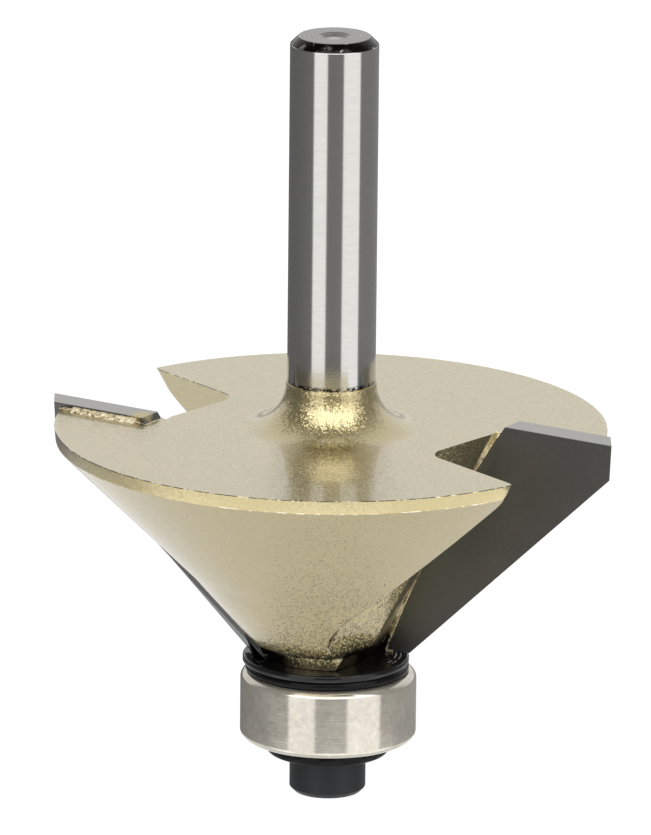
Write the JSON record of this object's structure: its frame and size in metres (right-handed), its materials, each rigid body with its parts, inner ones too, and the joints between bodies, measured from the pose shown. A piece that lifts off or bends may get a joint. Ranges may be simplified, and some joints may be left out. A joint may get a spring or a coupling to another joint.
{
  "type": "router bit",
  "caption": "Chamfer router bit: straight shank, painted conical body, brazed carbide tips and a pilot ball bearing held by a cap screw.",
  "frame": {"origin": "centre of the pilot screw's head at its lower face, on the spindle axis", "axes": "+Z along the spindle axis towards the shank's end; the first carbide tip lies on the +X side"},
  "size_m": [0.04, 0.0396, 0.056],
  "materials": {
    "gold_paint": "champagne gold metallic paint below the shank, bright ground steel shank",
    "carbide": "ground tungsten carbide, dark satin",
    "braze": "rough silver braze",
    "black_oxide": "glossy black oxide",
    "bearing_steel": "ground bearing steel",
    "shield_steel": "pressed steel",
    "cage_steel": "pressed steel",
    "screw_black": "satin black oxide"
  },
  "bodies": {
    "bit": {"cutter_body": "gold_paint", "carbide_tip_1": "carbide", "carbide_tip_2": "carbide", "braze_seam_1": "braze", "braze_seam_2": "braze", "dust_shield": "black_oxide", "seal_washer": "black_oxide", "bearing_inner_ring": "bearing_steel", "retaining_washer": "black_oxide", "cap_screw": "screw_black"},
    "pilot_ring": {"bearing_outer_ring": "bearing_steel", "bearing_shield_lower": "shield_steel", "bearing_shield_upper": "shield_steel"},
    "ball_train": {"ball_cage": "cage_steel"},
    "ball_1": {"bearing_ball_1": "bearing_steel"},
    "ball_2": {"bearing_ball_2": "bearing_steel"},
    "ball_3": {"bearing_ball_3": "bearing_steel"},
    "ball_4": {"bearing_ball_4": "bearing_steel"},
    "ball_5": {"bearing_ball_5": "bearing_steel"},
    "ball_6": {"bearing_ball_6": "bearing_steel"},
    "ball_7": {"bearing_ball_7": "bearing_steel"}
  },
  "joints": [
    {"name": "pilot_spin", "type": "hinge", "parent": "bit", "child": "pilot_ring", "pos_m": [0, 0, 0.00659], "axis": [0, 0, 1], "continuous": true},
    {"name": "cage_spin", "type": "hinge", "parent": "bit", "child": "ball_train", "pos_m": [0, 0, 0.00659], "axis": [0, 0, 1], "continuous": true},
    {"name": "ball_spin_1", "type": "hinge", "parent": "ball_train", "child": "ball_1", "pos_m": [0.00436, 0, 0.00659], "axis": [0, 0, 1], "continuous": true},
    {"name": "ball_spin_2", "type": "hinge", "parent": "ball_train", "child": "ball_2", "pos_m": [0.00272, 0.00341, 0.00659], "axis": [0, 0, 1], "continuous": true},
    {"name": "ball_spin_3", "type": "hinge", "parent": "ball_train", "child": "ball_3", "pos_m": [-0.00097, 0.00426, 0.00659], "axis": [0, 0, 1], "continuous": true},
    {"name": "ball_spin_4", "type": "hinge", "parent": "ball_train", "child": "ball_4", "pos_m": [-0.00393, 0.00189, 0.00659], "axis": [0, 0, 1], "continuous": true},
    {"name": "ball_spin_5", "type": "hinge", "parent": "ball_train", "child": "ball_5", "pos_m": [-0.00393, -0.00189, 0.00659], "axis": [0, 0, 1], "continuous": true},
    {"name": "ball_spin_6", "type": "hinge", "parent": "ball_train", "child": "ball_6", "pos_m": [-0.00097, -0.00426, 0.00659], "axis": [0, 0, 1], "continuous": true},
    {"name": "ball_spin_7", "type": "hinge", "parent": "ball_train", "child": "ball_7", "pos_m": [0.00272, -0.00341, 0.00659], "axis": [0, 0, 1], "continuous": true}
  ],
  "couplings": [
    {"joint": "cage_spin", "follows": "pilot_spin", "ratio": 0.63637},
    {"joint": "ball_spin_1", "follows": "pilot_spin", "ratio": 1.6969},
    {"joint": "ball_spin_2", "follows": "pilot_spin", "ratio": 1.6969},
    {"joint": "ball_spin_3", "follows": "pilot_spin", "ratio": 1.6969},
    {"joint": "ball_spin_4", "follows": "pilot_spin", "ratio": 1.6969},
    {"joint": "ball_spin_5", "follows": "pilot_spin", "ratio": 1.6969},
    {"joint": "ball_spin_6", "follows": "pilot_spin", "ratio": 1.6969},
    {"joint": "ball_spin_7", "follows": "pilot_spin", "ratio": 1.6969}
  ]
}
